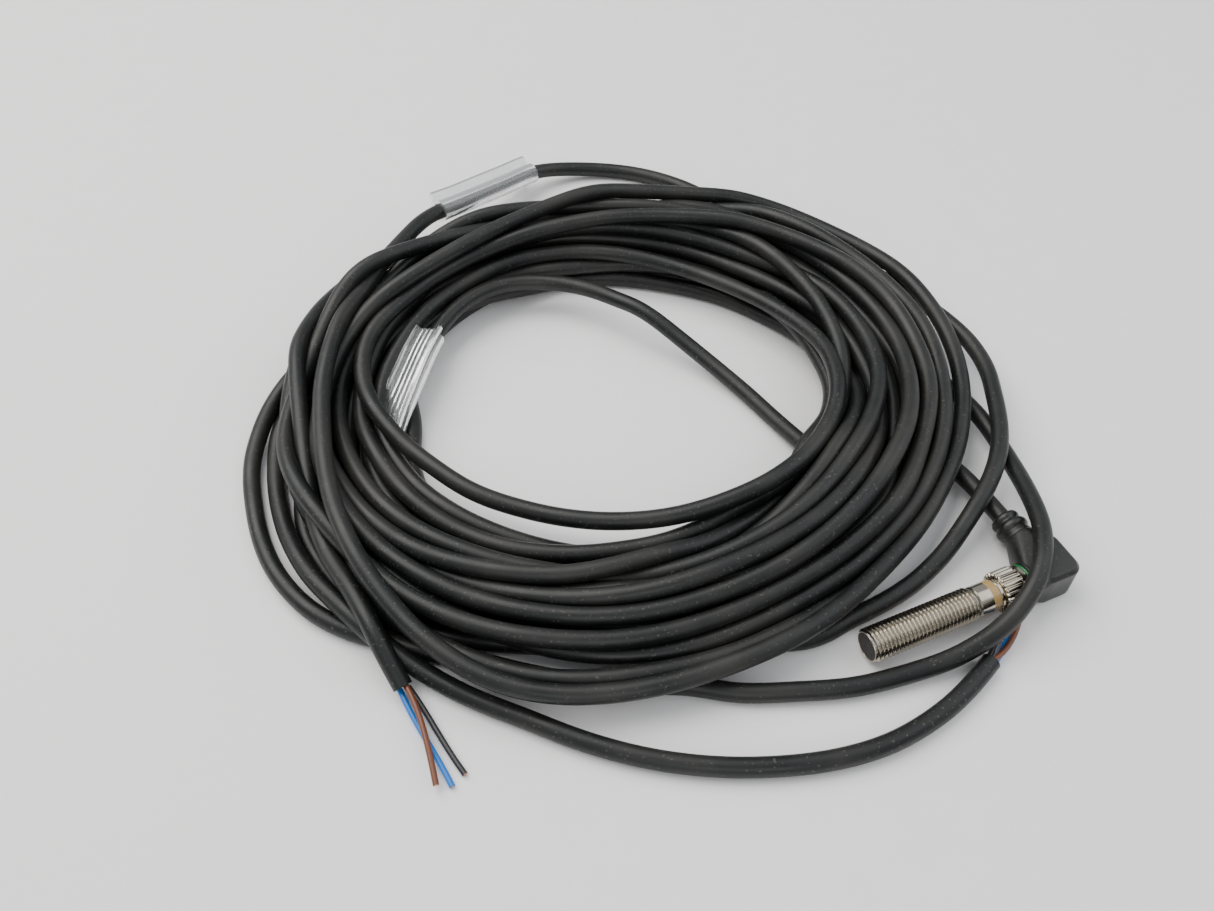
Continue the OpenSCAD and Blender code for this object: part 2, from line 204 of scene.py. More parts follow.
def mix_colours(tree, factor, first, second):
    node = add(tree, "ShaderNodeMix", data_type="RGBA")
    for index, value in ((0, factor), (6, first), (7, second)):
        if isinstance(value, bpy.types.NodeSocket):
            tree.links.new(value, node.inputs[index])
        else:
            node.inputs[index].default_value = value
    return node.outputs[2]


def surface_group(name="Moulded surface", edge=0.0):
    """Moulded or extruded surface: grain, cloudy colour, dust, handling shine and softened edges."""
    group, start, end = new_group(
        name,
        [("Color", "NodeSocketColor", (0.5, 0.5, 0.5, 1)),
         ("Dust Color", "NodeSocketColor", (0.48, 0.45, 0.37, 1)),
         ("Grain Size", "NodeSocketFloat", 0.0003), ("Grain Depth", "NodeSocketFloat", 0.2),
         ("Cloud", "NodeSocketFloat", 0.2), ("Dust", "NodeSocketFloat", 0.3),
         ("Roughness", "NodeSocketFloat", 0.5)],
        [("Color", "NodeSocketColor"), ("Roughness", "NodeSocketFloat"), ("Normal", "NodeSocketVector")])
    place = add(group, "ShaderNodeTexCoord").outputs["Object"]
    inside = start.outputs
    grain_scale = math_node(group, "DIVIDE", 1.0, inside["Grain Size"])
    grain = add(group, "ShaderNodeTexNoise", {"Vector": place, "Scale": grain_scale, "Detail": 4.0})
    cloud = add(group, "ShaderNodeTexNoise", {"Vector": place, "Scale": 120.0, "Detail": 3.0})
    film = add(group, "ShaderNodeTexNoise", {"Vector": place, "Scale": 45.0, "Detail": 5.0})
    specks = add(group, "ShaderNodeTexNoise", {"Vector": place, "Scale": 1500.0, "Detail": 1.0})
    fibres = add(group, "ShaderNodeTexVoronoi", {"Vector": place, "Scale": 380.0, "Randomness": 1.0})
    low = math_node(group, "SUBTRACT", cloud.outputs["Fac"], 0.5)
    shade = math_node(group, "MULTIPLY", low, inside["Cloud"])
    lighter = math_node(group, "ADD", math_node(group, "MULTIPLY", shade, 2.0), 1.0)
    hue = add(group, "ShaderNodeHueSaturation", {"Color": inside["Color"], "Value": lighter})
    spots = add(group, "ShaderNodeMapRange", {"Value": specks.outputs["Fac"], 1: 0.66, 2: 0.74})
    dots = add(group, "ShaderNodeMapRange", {"Value": fibres.outputs["Distance"], 1: 0.11, 2: 0.05})
    veil = add(group, "ShaderNodeMapRange", {"Value": film.outputs["Fac"], 1: 0.45, 2: 0.8, 4: 0.16})
    both = math_node(group, "MAXIMUM", spots.outputs[0], dots.outputs[0])
    cover = math_node(group, "MAXIMUM", math_node(group, "MULTIPLY", both, 0.35), veil.outputs[0])
    dust = math_node(group, "MULTIPLY", cover, inside["Dust"])
    colour = mix_colours(group, dust, hue.outputs["Color"], inside["Dust Color"])
    rough = math_node(group, "ADD", inside["Roughness"], math_node(group, "MULTIPLY", low, 0.35))
    rough = math_node(group, "ADD", rough, math_node(group, "MULTIPLY", dust, 0.3))
    bump = add(group, "ShaderNodeBump", {"Strength": inside["Grain Depth"], "Distance": 0.00004,
                                         "Height": grain.outputs["Fac"]})
    if edge:
        rounded = add(group, "ShaderNodeBevel", {"Radius": edge}, samples=6)
        group.links.new(rounded.outputs["Normal"], bump.inputs["Normal"])
    group.links.new(colour, end.inputs["Color"])
    group.links.new(rough, end.inputs["Roughness"])
    group.links.new(bump.outputs["Normal"], end.inputs["Normal"])
    return group


def metal_group():
    """Plated metal: fine turning marks round the X axis, tarnish and small scratches."""
    group, start, end = new_group(
        "Plated metal",
        [("Color", "NodeSocketColor", (0.7, 0.68, 0.62, 1)),
         ("Tarnish", "NodeSocketColor", (0.4, 0.34, 0.25, 1)),
         ("Wear", "NodeSocketFloat", 0.4), ("Marks", "NodeSocketFloat", 0.3),
         ("Roughness", "NodeSocketFloat", 0.2)],
        [("Color", "NodeSocketColor"), ("Roughness", "NodeSocketFloat"), ("Normal", "NodeSocketVector")])
    place = add(group, "ShaderNodeTexCoord").outputs["Object"]
    inside = start.outputs
    squeezed = add(group, "ShaderNodeMapping", {"Vector": place, "Scale": (9000.0, 350.0, 350.0)})
    turning = add(group, "ShaderNodeTexNoise", {"Vector": squeezed.outputs[0], "Scale": 1.0, "Detail": 3.0})
    stains = add(group, "ShaderNodeTexNoise", {"Vector": place, "Scale": 420.0, "Detail": 6.0})
    pits = add(group, "ShaderNodeTexNoise", {"Vector": place, "Scale": 3200.0, "Detail": 2.0})
    stained = add(group, "ShaderNodeMapRange", {"Value": stains.outputs["Fac"], 1: 0.5, 2: 0.78})
    amount = math_node(group, "MULTIPLY", stained.outputs[0], inside["Wear"])
    colour = mix_colours(group, amount, inside["Color"], inside["Tarnish"])
    spread = math_node(group, "MULTIPLY", stains.outputs["Fac"], 0.16)
    rough = math_node(group, "ADD", inside["Roughness"], math_node(group, "SUBTRACT", spread, 0.06))
    pitting = math_node(group, "MULTIPLY", pits.outputs["Fac"], 0.5)
    height = math_node(group, "ADD", turning.outputs["Fac"], pitting)
    bump = add(group, "ShaderNodeBump", {"Strength": inside["Marks"], "Distance": 0.00002, "Height": height})
    group.links.new(colour, end.inputs["Color"])
    group.links.new(rough, end.inputs["Roughness"])
    group.links.new(bump.outputs["Normal"], end.inputs["Normal"])
    return group


def fresh_material(name):
    material = bpy.data.materials.new(name)
    material.use_nodes = True
    return material, material.node_tree, material.node_tree.nodes["Principled BSDF"]


def moulded(name, group, colour, roughness, grain=0.0003, depth=0.25, cloud=0.2, dust=0.2, **values):
    """A moulded or extruded material; values are plain inputs of its Principled shader."""
    material, tree, shader = fresh_material(name)
    node = add(tree, "ShaderNodeGroup", node_tree=group)
    node.inputs["Color"].default_value = (*colour, 1)
    for label, value in (("Roughness", roughness), ("Grain Size", grain), ("Grain Depth", depth),
                         ("Cloud", cloud), ("Dust", dust)):
        node.inputs[label].default_value = value
    tree.links.new(node.outputs["Color"], shader.inputs["Base Color"])
    tree.links.new(node.outputs["Roughness"], shader.inputs["Roughness"])
    tree.links.new(node.outputs["Normal"], shader.inputs["Normal"])
    for label, value in values.items():
        shader.inputs[label.replace("_", " ")].default_value = value
    return material


def plated(name, group, colour, tarnish, roughness, wear=0.4, marks=0.3):
    material, tree, shader = fresh_material(name)
    node = add(tree, "ShaderNodeGroup", node_tree=group)
    node.inputs["Color"].default_value = (*colour, 1)
    node.inputs["Tarnish"].default_value = (*tarnish, 1)
    for label, value in (("Roughness", roughness), ("Wear", wear), ("Marks", marks)):
        node.inputs[label].default_value = value
    tree.links.new(node.outputs["Color"], shader.inputs["Base Color"])
    tree.links.new(node.outputs["Roughness"], shader.inputs["Roughness"])
    tree.links.new(node.outputs["Normal"], shader.inputs["Normal"])
    shader.inputs["Metallic"].default_value = 1.0
    return material


def make_materials(dust):
    """One material for each of the record's slots, by slot name, and the bare copper."""
    soft = surface_group()
    soft_edged = surface_group("Moulded surface with soft edges", 0.0007)
    metal = metal_group()
    nickel = ((0.5, 0.455, 0.38), (0.24, 0.195, 0.13))
    return {
        "nickel": plated("nickel", metal, *nickel, 0.17, wear=0.35, marks=0.3),
        "cap_plastic": moulded("cap_plastic", soft, (0.034, 0.030, 0.029), 0.6, cloud=0.35, dust=dust,
                               Specular_IOR_Level=0.3),
        "ferrite": moulded("ferrite", soft, (0.05, 0.05, 0.055), 0.8, grain=0.0002, depth=0.6),
        "bobbin_plastic": moulded("bobbin_plastic", soft, (0.72, 0.68, 0.58), 0.45),
        "copper_winding": plated("copper_winding", metal, (0.72, 0.3, 0.12), (0.35, 0.13, 0.05), 0.28),
        "board": moulded("board", soft, (0.02, 0.19, 0.07), 0.4, grain=0.0005, cloud=0.3),
        "chip": moulded("chip", soft, (0.02, 0.02, 0.022), 0.5, grain=0.00015),
        "potting_resin": moulded("potting_resin", soft, (0.06, 0.07, 0.045), 0.3, cloud=0.5),
        "light_ring": moulded("light_ring", soft, (0.66, 0.44, 0.17), 0.15, cloud=0.3, dust=0.05,
                              Transmission_Weight=0.45, IOR=1.5),
        "black_insert": moulded("black_insert", soft, (0.018, 0.018, 0.02), 0.45),
        "gold_contact": plated("gold_contact", metal, (0.95, 0.68, 0.26), (0.5, 0.32, 0.1), 0.16),
        "green_seal": moulded("green_seal", soft, (0.004, 0.15, 0.035), 0.32, cloud=0.3, dust=dust * 0.5,
                              Coat_Weight=0.25),
        "inner_mould": moulded("inner_mould", soft, (0.11, 0.11, 0.11), 0.5),
        "plug_black": moulded("plug_black", soft_edged, (0.0062, 0.0068, 0.0065), 0.38, grain=0.00022,
                              depth=0.45, cloud=0.3, dust=dust * 0.8),
        "cable_sheath": moulded("cable_sheath", soft, (0.0062, 0.0070, 0.0070), 0.45, grain=0.0005,
                                depth=0.22, cloud=0.35, dust=dust, Specular_IOR_Level=0.42),
        "core_blue": moulded("core_blue", soft, (0.008, 0.16, 0.56), 0.33, grain=0.0004, dust=0.1),
        "core_brown": moulded("core_brown", soft, (0.15, 0.045, 0.018), 0.33, grain=0.0004, dust=0.1),
        "core_black": moulded("core_black", soft, (0.02, 0.02, 0.022), 0.36, grain=0.0004, dust=0.15),
        "clear_sleeve": moulded("clear_sleeve", soft, (0.84, 0.86, 0.86), 0.1, grain=0.0008, depth=0.2,
                                cloud=0.1, dust=0.25, Transmission_Weight=0.88, IOR=1.25),
        "bare_copper": plated("bare_copper", metal, (0.8, 0.42, 0.22), (0.4, 0.2, 0.1), 0.3),
    }


# --- Settling the leads ---


def on_ring(points):
    """(angle, radius, height) round the coil's centre as (x, y, height)."""
    made = []
    for angle, radius, height in points:
        turn = math.radians(angle)
        x = COIL_CENTRE[0] + radius * math.cos(turn)
        y = COIL_CENTRE[1] + radius * math.sin(turn)
        made.append((x, y, height))
    return made


def angle_of(point):
    return math.degrees(math.atan2(point[1] - COIL_CENTRE[1], point[0] - COIL_CENTRE[0])) % 360


def bundle_turns(first, last, whole, low, high, near, far, seed):
    """Turns that wander across the bundle, from one angle to another, whole turns later.

    near and far say where across the bundle the turns start and end; low and high are drop heights.
    """
    start = angle_of(first)
    end = start + (angle_of(last) - start) % 360 + 360 * whole
    count = int(round((end - start) / 15))
    angle = np.linspace(start, end, count + 1)[1:-1]
    share = (angle - start) / (end - start)
    turn = np.radians(angle)
    across = 0.5 + 0.34 * np.sin(0.31 * turn + seed) + 0.22 * np.sin(0.83 * turn + 2.1 * seed)
    ease = np.minimum(1, np.minimum(share, 1 - share) * (end - start) / 200)
    across = np.clip(across * ease + (1 - ease) * np.where(share < 0.5, near, far), 0, 1)
    marks = np.arange(0, 361, 30)
    inside = np.interp(angle % 360, marks, BUNDLE_INSIDE + BUNDLE_INSIDE[:1])
    outside = np.interp(angle % 360, marks, BUNDLE_OUTSIDE + BUNDLE_OUTSIDE[:1])
    radius = inside + (outside - inside) * across
    return on_ring(zip(angle, radius, low + (high - low) * share))


def smooth_route(stretches):
    """Evenly spaced points through every stretch, with how strongly each point is held."""
    points = np.array([p for stretch, _, _ in stretches for p in stretch], float)
    hold = np.array([(a, b) for stretch, a, b in stretches for _ in stretch], float)
    ends = np.vstack([2 * points[0] - points[1], points, 2 * points[-1] - points[-2]])
    share = np.linspace(0, 1, 24, endpoint=False)[:, None]
    curve, held = [], []
    for i in range(1, len(ends) - 2):
        a, b, c, d = ends[i - 1:i + 3]
        curve.append(0.5 * (2 * b + (c - a) * share + (2 * a - 5 * b + 4 * c - d) * share ** 2
                            + (3 * b - a - 3 * c + d) * share ** 3))
        held.append(hold[i - 1] + (hold[i] - hold[i - 1]) * share)
    curve = np.vstack(curve + [points[-1:]])
    held = np.vstack(held + [hold[-1:]])
    along = np.r_[0, np.cumsum(np.linalg.norm(np.diff(curve[:, :2], axis=0), axis=1))]
    at = np.linspace(0, along[-1], int(round(along[-1] / STEP)) + 1)
    even = np.stack([np.interp(at, along, curve[:, k]) for k in range(3)], 1)
    grip = np.stack([np.interp(at, along, held[:, k]) for k in range(2)], 1)
    return even, grip


def solid_capsules():
    """The plugs and the barrel as (start, end, radius) in mm, for the leads to lie on."""
    height = 4.8
    shift = np.array([*PLUG_TWO_SHIFT, 0])
    first = [((-27, -6, height), (6, -6, height), 4.05), ((7, -6, height), (26, -6, height), 4.85),
             ((22, -6, height), (22, 10.8, height), 4.4)]
    made = [(np.array(a, float), np.array(b, float), r) for a, b, r in first]
    second = [((8, -6, height), (26, -6, height), 4.9), ((22, -6, height), (22, 10.8, height), 4.4)]
    made += [(np.array(a, float) + shift, np.array(b, float) + shift, r) for a, b, r in second]
    return made


def close_pairs(points, owner, reach):
    """Pairs of points nearer than reach, leaving out neighbours along one lead."""
    small = (points - points.mean(0)).astype(np.float32)
    square = (small * small).sum(1)
    apart = square[:, None] + square[None, :] - 2 * small @ small.T
    first, second = np.where(apart < reach * reach)
    far = (second > first) & ((second - first > 4) | (owner[first] != owner[second]))
    return first[far], second[far]


def push_apart(points, tangents, pair, thick):
    """Moves each close pair of short segments apart to the sum of their radii."""
    first, second = pair
    if len(first) == 0:
        return
    gap = points[second] - points[first]
    ta, tb = tangents[first], tangents[second]
    ab, da, db = (ta * tb).sum(1), (gap * ta).sum(1), (gap * tb).sum(1)
    below = np.maximum(1 - ab * ab, 0.02)
    s = np.clip((da - ab * db) / below, -2, 2)
    u = np.clip(ab * s - db, -2, 2)
    s = np.clip(ab * u + da, -2, 2)
    between = gap + tb * u[:, None] - ta * s[:, None]
    size = np.linalg.norm(between, axis=1)
    want = thick[first] + thick[second] + 0.03
    close = size < want
    first, second = first[close], second[close]
    shove = between[close] * ((want - size)[close] / np.maximum(size[close], 0.05) * 0.5)[:, None]
    total = np.zeros_like(points)
    for k in range(3):
        total[:, k] = np.bincount(second, shove[:, k], len(points))
        total[:, k] -= np.bincount(first, shove[:, k], len(points))
    met = np.bincount(first, minlength=len(points)) + np.bincount(second, minlength=len(points))
    points += np.clip(total / np.maximum(1, met * 0.55)[:, None], -0.6, 0.6)


def ease_bends(points, tightest=19.0):
    """Rounds off each bend tighter than the sheath allows, in mm."""
    for _ in range(120):
        bend = points[:-2] - 2 * points[1:-1] + points[2:]
        sharp = np.linalg.norm(bend, axis=1) > STEP * STEP / tightest
        near = np.convolve(sharp, np.ones(5), "same") > 0
        points[1:-1][near] += bend[near] * 0.25
        points[:, 2] = np.maximum(points[:, 2], LIE_HEIGHT)
    return points


def settle(routes, thick, passes):
    """Lets the leads fall on the table, on the plugs and on each other, at their full length."""
    calm_passes = 250
    smoothed_passes = (passes - 60, passes - 40, passes - 20)
    pair_reach = 12.0
    counts = [len(points) for points, _ in routes]
    design = np.vstack([points for points, _ in routes])
    grip = np.vstack([held for _, held in routes])
    weight = grip[:, (0, 0, 1)]
    points = design.copy()
    total = len(points)
    starts = np.cumsum([0] + counts)
    owner = np.repeat(np.arange(len(counts)), counts)
    index = np.arange(total)
    inner = index[~np.isin(index, starts[:-1]) & ~np.isin(index, starts[1:] - 1)]
    links = np.arange(total - 1)
    links = links[owner[links] == owner[links + 1]]
    loose = np.ones(total, bool)
    for begin in starts[:-1]:
        loose[begin:begin + 7] = False
    curl = np.zeros_like(points)
    curl[inner] = design[inner - 1] - 2 * design[inner] + design[inner + 1]
    curl[:, 2] = 0
    speed = np.zeros_like(points)
    stiffness = np.array([0.22, 0.22, 0.34])
    solids = solid_capsules()
    for count in range(passes):
        before = points.copy()
        calm = count > passes - calm_passes
        points += speed * (0.6 if calm else 0.9)
        points[:, 2] -= 0.02 if calm else 0.12
        if count in smoothed_passes:
            points[inner] = (points[inner - 1] + 2 * points[inner] + points[inner + 1]) / 4
        if count % 8 == 0:
            pair = close_pairs(points, owner, pair_reach)
        for _ in range(3 if calm else 2):
            tangents = np.zeros_like(points)
            tangents[inner] = points[inner + 1] - points[inner - 1]
            tangents[starts[:-1]] = points[starts[:-1] + 1] - points[starts[:-1]]
            tangents[starts[1:] - 1] = points[starts[1:] - 1] - points[starts[1:] - 2]
            tangents /= np.linalg.norm(tangents, axis=1)[:, None] + 1e-9
            push_apart(points, tangents, pair, thick)
            for parity in (0, 1):
                link = links[links % 2 == parity]
                edge = points[link + 1] - points[link]
                long = np.linalg.norm(edge, axis=1)
                pull = ((long - STEP) / long * 0.5)[:, None] * edge
                points[link] += pull
                points[link + 1] -= pull
        bend = points[inner - 1] - 2 * points[inner] + points[inner + 1] - curl[inner]
        points[inner] += bend * stiffness
        points += (design - points) * weight
        for a, b, radius in solids:
            along = np.clip((points - a) @ (b - a) / ((b - a) @ (b - a)), 0, 1)
            away = points - (a + along[:, None] * (b - a))
            size = np.linalg.norm(away, axis=1)
            hit = loose & (size < radius + LIE_HEIGHT)
            away[hit, 2] = np.maximum(away[hit, 2], 0.2)
            size[hit] = np.linalg.norm(away[hit], axis=1)
            points[hit] += away[hit] * ((radius + LIE_HEIGHT - size[hit]) / size[hit] * 0.7)[:, None]
        points[:, 2] = np.maximum(points[:, 2], LIE_HEIGHT)
        speed = np.clip(points - before, -0.5, 0.5)
    return [ease_bends(points[starts[i]:starts[i + 1]]) for i in range(len(counts))]


# --- Pieces ---


def new_object(name, data, material, body):
    piece = bpy.data.objects.new(name, data)
    bpy.context.scene.collection.objects.link(piece)
    if not data.materials:
        data.materials.append(material)
    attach(piece, body)
    return piece


def mesh_grid(name, rows, closed_rings=True, capped=False):
    """A mesh from rows of points; each row is a ring."""
    rows = [[Vector(p) for p in row] for row in rows]
    width = len(rows[0])
    points = [p for row in rows for p in row]
    faces = []
    for i in range(len(rows) - 1):
        for j in range(width if closed_rings else width - 1):
            k = (j + 1) % width
            faces.append((i * width + j, i * width + k, (i + 1) * width + k, (i + 1) * width + j))
    if capped:
        faces.append(tuple(reversed(range(width))))
        faces.append(tuple((len(rows) - 1) * width + j for j in range(width)))
    mesh = bpy.data.meshes.new(name)
    mesh.from_pydata(points, [], faces)
    mesh.validate()
    mesh.update()
    return mesh


def smooth(mesh, angle=35):
    mesh.shade_smooth()
    mesh.set_sharp_from_angle(angle=math.radians(angle))


def turned(name, outline, axis_y, axis_z, steps=96, shape=None):
    """A solid turned round a line along X. outline is (x, radius) in metres; shape changes a radius."""
    rows = []
    for x, radius in outline:
        ring = []
        for k in range(steps):
            turn = 2 * math.pi * k / steps
            r = shape(x, radius, turn) if shape else radius
            ring.append((x, axis_y + r * math.cos(turn), axis_z + r * math.sin(turn)))
        rows.append(ring)
    mesh = mesh_grid(name, rows)
    smooth(mesh)
    return mesh


def curve_piece(name, points, radius, material, body, order=4):
    """A round cord as one open spline."""
    data = bpy.data.curves.new(name, "CURVE")
    data.dimensions = "3D"
    data.bevel_depth = radius
    data.bevel_resolution = 5
    data.resolution_u = 3
    data.use_fill_caps = True
    spline = data.splines.new("NURBS")
    spline.points.add(len(points) - 1)
    for point, place in zip(spline.points, points):
        point.co = (*place, 1)
    spline.order_u = order
    spline.use_endpoint_u = True
    return new_object(name, data, material, body)


def frames_along(points, up):
    """Point, side and up directions at each point of a path."""
    made = []
    for i, here in enumerate(points):
        ahead = points[min(i + 1, len(points) - 1)]
        behind = points[max(i - 1, 0)]
        forward = Vector(ahead - behind).normalized()
        side = forward.cross(up).normalized()
        made.append((Vector(here), side, side.cross(forward).normalized()))
    return made


def resample(points, count):
    along = np.r_[0, np.cumsum(np.linalg.norm(np.diff(points, axis=0), axis=1))]
    at = np.linspace(0, along[-1], count)
    return np.stack([np.interp(at, along, points[:, k]) for k in range(3)], 1)


def sleeve_outline():
    """(outer, inner) points in mm across a marker sleeve: a tube under a ribbed channel."""
    sweep = np.linspace(-1.25 * math.pi, 0.25 * math.pi, 24)
    tube = [(3.15 * math.cos(t), 3.15 * math.sin(t)) for t in sweep]
    left = [(2.6, 2.5), (3.7, 2.9), (4.1, 3.5), (4.1, 4.5), (3.3, 4.6), (3.2, 3.9)]
    floor = []
    for k in range(9):
        across = 2.8 - 5.6 * k / 8
        floor.append((across, 3.15 if k % 2 else 3.5))
    right = [(-x, y) for x, y in reversed(left)]
    outer = tube[:-1] + left + floor + right
    turn = [math.atan2(y - 0.2, x) for x, y in outer]
    inner = [(2.32 * math.cos(t), 2.32 * math.sin(t)) for t in turn]
    return outer, inner


def sleeve_piece(name, path, up, material):
    """A clear marker sleeve pushed over a lead, following it."""
    outer, inner = sleeve_outline()
    rows_out, rows_in = [], []
    for here, side, top in frames_along(resample(path, 14), up):
        rows_out.append([here + (side * x + top * y) * MM for x, y in outer])
        rows_in.append([here + (side * x + top * y) * MM for x, y in inner])
    rows = rows_out + list(reversed(rows_in)) + rows_out[:1]
    for row in rows:
        for point in row:
            point.z = max(point.z, 0.0001)
    mesh = mesh_grid(name, rows)
    smooth(mesh, 30)
    return new_object(name, mesh, material, "leads")


def core_pieces(lead, cores, end_shift, materials):
    """The three stripped cores of a lead, each cut flush with its copper strands showing."""
    made = []
    for colour, points in cores.items():
        start = np.array(points, float)
        start[0] += end_shift
        route = start * MM
        slot = f"core_{colour}"
        wire = curve_piece(f"wire_{lead}_{colour}", route, 0.00066, materials[slot], "leads")
        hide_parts(f"lead_{lead}_core_{colour}")
        made.append(wire)
        heading = route[-1] - route[-2]
        heading[2] = 0
        heading /= np.linalg.norm(heading)
        rows = []
        side = Vector((-heading[1], heading[0], 0))
        for share in np.linspace(-0.2, 0.03, 4):
            middle = Vector(route[-1] + heading * 0.0022 * share)
            ring = []
            for k in range(28):
                turn = 2 * math.pi * k / 28
                lumps = 0.00036 * (1 + 0.22 * math.cos(7 * turn + 5 * share))
                ring.append(middle + side * lumps * math.cos(turn) + Vector((0, 0, lumps * math.sin(turn))))
            rows.append(ring)
        mesh = mesh_grid(f"strands_{lead}_{colour}", rows, capped=True)
        smooth(mesh, 60)
        tip = new_object(f"strands_{lead}_{colour}", mesh, materials["bare_copper"], "leads")
        made.append(tip)
    return made


class SENSOR_OT_leads(bpy.types.Operator):
    """Lay both leads, with their marker sleeves and stripped ends"""

    bl_idname = "sensor.leads"
    bl_label = "Lay the leads"

    def execute(self, context):
        settings = context.scene.lead_settings
        materials = palette(context)
        radius = settings.diameter / 2
        turns_one = bundle_turns(TOP_TURN[-1], LAST_TURN[0], settings.turns_one, 86, 14, 0.55, 0.95, 0.4)
        loop = on_ring(INNER_LOOP)
        turns_two = bundle_turns(SECOND_CLIMB[-1], loop[0], settings.turns_two, 46, 92, 0.1, 0.8, 2.3)
        one = [(PLUG_LEAD, 0.5, 0.4), (SLEEVE_ONE, 0.4, 0.15), (CLIMB_ONE, 0.05, 0),
               (TOP_TURN, 0.05, 0), (turns_one, 0.01, 0),
               (LAST_TURN, 0.05, 0), (FREE_END_ONE[:3], 0.12, 0), (FREE_END_ONE[3:], 0.3, 0.2)]
        two = [(SECOND_START, 0.6, 0.5), (SECOND_CLIMB, 0.2, 0), (turns_two, 0.01, 0), (loop, 0.03, 0),
               (FLOOR_TURN_TWO, 0.3, 0.02), (FLOOR_TURN_ONE, 0.3, 0.05), (FREE_END_TWO, 0.5, 0.5)]
        routes = [smooth_route(one), smooth_route(two)]
        thick = np.full(sum(len(points) for points, _ in routes), radius / MM)
        sleeves = []
        for route, start, near in ((0, 0, (-48.5, 177.5)), (1, len(routes[0][0]), (-95, 107))):
            points = routes[route][0]
            first = int(np.argmin(np.hypot(points[:400, 0] - near[0], points[:400, 1] - near[1])))
            sleeves.append((route, first - 5, first + 6))
            thick[start + first - 5:start + first + 6] = 3.3
        passes = settings.passes
        settled = settle(routes, thick, passes)
        leads = [points * MM for points in settled]
        ups = (Vector((0.3, 0.95, -0.15)).normalized(), Vector((-0.5, -0.3, 0.8)).normalized())
        names = ("one", "two")
        sleeve_objects = []
        for (route, first, last), up, name in zip(sleeves, ups, names):
            path = leads[route][first:last]
            sleeve = sleeve_piece(f"clear_sleeve_{name}", path, up, materials["clear_sleeve"])
            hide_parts(f"marker_sleeve_{name}")
            sleeve_objects.append(sleeve)
        for name, points, cores, sleeve in zip(names, leads, (CORES_ONE, CORES_TWO), sleeve_objects):
            cable = curve_piece(f"lead_{name}", points, radius, materials["cable_sheath"],
                                "leads")
            design_end = FREE_END_ONE[-1] if name == "one" else FREE_END_TWO[-1]
            shift = points[-1] / MM - np.array(design_end)
            wires = core_pieces(name, cores, shift, materials)
            if name == "one":
                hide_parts("cable_coil", "lead_one_start", "lead_one_loop", "lead_one_tail")
            else:
                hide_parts("lead_two_start", "lead_two_arc", "lead_two_over", "lead_two_tail")
            long = float(np.linalg.norm(np.diff(points, axis=0), axis=1).sum())
            print("lead", name, "runs", round(long, 3), "m")
        return {"FINISHED"}


def thread_form(share):
    """Height of a 60 degree thread, 0 at the root to 1 at the crest, over one pitch."""
    rise = 1 - abs(2 * (share % 1.0) - 1)
    return min(1.0, max(0.0, (rise - 0.14) / 0.66))


class SENSOR_OT_barrel(bpy.types.Operator):
    """Cut the threaded barrel with its stepped neck and build the sensing face"""

    bl_idname = "sensor.barrel"
    bl_label = "Build the barrel"

    def execute(self, context):
        settings = context.scene.sensor_settings
        materials = palette(context)
        low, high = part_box("barrel")
        axis_y, axis_z = (low[1] + high[1]) / 2, (low[2] + high[2]) / 2
        crest = (high[1] - low[1]) / 2
        face = low[0]
        thread_end = face + 0.0273
        depth = settings.thread_depth

        def threaded(x, radius, turn):
            # a radius below zero is a plain turned surface, the others carry the thread
            if radius < 0:
                return -radius
            fade = min(1.0, max(0.0, (x - face) / 0.0006), max(0.0, (thread_end - x) / 0.0007))
            cut = thread_form((x - face) / settings.pitch - turn / (2 * math.pi))
            return radius - depth * (1 - cut * fade)

        outline = [(face + 0.0006, -0.00305), (face, -0.00325), (face, -0.0034)]
        steps = int((thread_end - face) / (settings.pitch / 16))
        for k in range(steps):
            outline.append((face + (thread_end - face) * k / steps, crest))
        neck = 0.00365
        outline += [(thread_end, -crest + depth), (thread_end + 0.00015, -0.00325),
                    (thread_end + 0.00045, -0.00325), (thread_end + 0.0006, -neck + 0.00012)]
        outline += [(thread_end + 0.00075, -neck), (high[0] - 0.0002, -neck), (high[0], -neck + 0.0002),
                    (high[0], -0.00342)]
        mesh = turned("threaded_barrel", outline, axis_y, axis_z, steps=120, shape=threaded)
        barrel = new_object("threaded_barrel", mesh, materials["nickel"], "sensor")
        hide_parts("barrel")

        cap_low, cap_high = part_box("sensing_cap")
        rim = (cap_high[1] - cap_low[1]) / 2 - 0.00003
        front, back = cap_low[0], cap_high[0]
        outline = [(front + 0.00006, 0.00001), (front + 0.00002, 0.0004), (front, 0.0009),
                   (front, 0.0021), (front + 0.00005, 0.00215), (front + 0.00005, 0.0023),
                   (front, 0.00235), (front, rim - 0.00025), (front + 0.00008, rim - 0.00008),
                   (front + 0.00025, rim), (back, rim)]
        mesh = turned("sensing_face_cap", outline, axis_y, axis_z, steps=96)
        cap = new_object("sensing_face_cap", mesh, materials["cap_plastic"], "sensor")
        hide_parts("sensing_cap")
        return {"FINISHED"}


